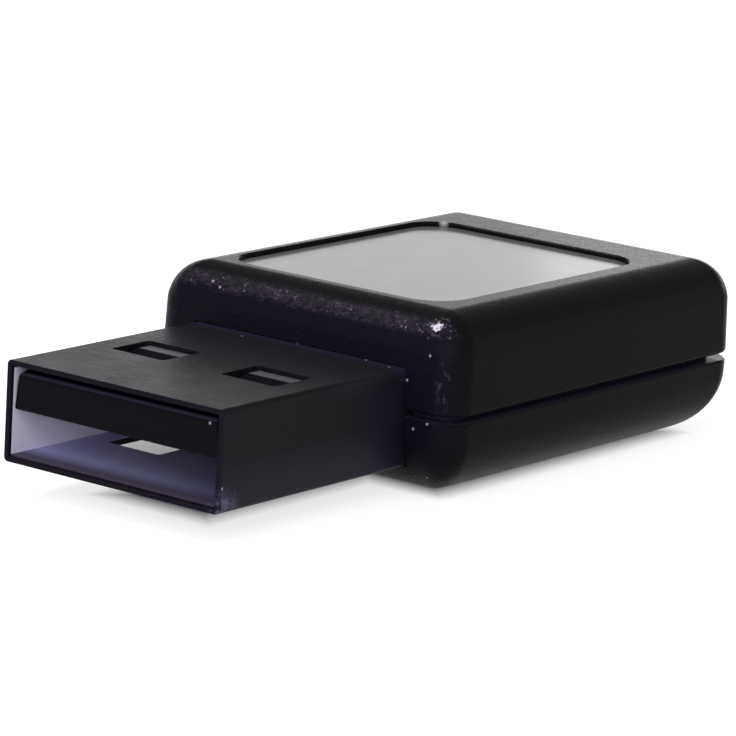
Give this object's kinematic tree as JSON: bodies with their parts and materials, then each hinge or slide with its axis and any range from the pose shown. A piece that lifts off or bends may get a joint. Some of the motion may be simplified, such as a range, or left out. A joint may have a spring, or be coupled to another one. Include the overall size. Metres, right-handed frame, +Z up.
{
  "type": "smart home usb radio stick",
  "caption": "Short black radio stick with a metal type A plug, a rounded snap-fit housing in two halves and a shallow blank label pocket on top.",
  "frame": {"origin": "middle of the stick's outer box, on the flat underside of the housing", "axes": "+Z up from the underside to the label pocket, -X out of the plug's mouth, +X to the housing's rear wall, Y across the width"},
  "size_m": [0.035, 0.0172, 0.0084],
  "materials": {
    "housing": "satin black moulding with a very fine grain, a little dust and edge wear",
    "label_film": "smooth glossy black film, blank",
    "plug_metal": "dark bright-rolled plated sheet",
    "insulator": "moulded black, slightly glossy",
    "contact_plating": "thin gold-coloured plating",
    "board_laminate": "glass laminate under dark green mask",
    "shield_metal": "tin-plated drawn sheet",
    "chip_epoxy": "matt moulded epoxy",
    "crystal_case": "plated lid on a ceramic tray",
    "capacitor_ceramic": "unglazed fired body with tinned ends",
    "ferrite": "dark sintered body with tinned ends",
    "resistor_body": "dark coated body with tinned ends",
    "antenna_ceramic": "white fired block with tinned bands"
  },
  "bodies": {
    "root": {"upper_cover": "housing", "lower_cover": "housing", "label_film": "label_film", "plug_shell": "plug_metal", "plug_insulator": "insulator", "contact_power": "contact_plating", "contact_data_minus": "contact_plating", "contact_data_plus": "contact_plating", "contact_ground": "contact_plating", "circuit_board": "board_laminate", "shield_can": "shield_metal", "radio_chip": "chip_epoxy", "bridge_chip": "chip_epoxy", "voltage_regulator": "chip_epoxy", "surge_guard": "chip_epoxy", "radio_crystal": "crystal_case", "bridge_crystal": "crystal_case", "bulk_capacitor": "capacitor_ceramic", "decoupling_capacitor_1": "capacitor_ceramic", "decoupling_capacitor_2": "capacitor_ceramic", "decoupling_capacitor_3": "capacitor_ceramic", "decoupling_capacitor_4": "capacitor_ceramic", "ferrite_bead": "ferrite", "matching_inductor_1": "ferrite", "matching_inductor_2": "ferrite", "series_resistor_1": "resistor_body", "series_resistor_2": "resistor_body", "chip_antenna": "antenna_ceramic"}
  },
  "joints": []
}
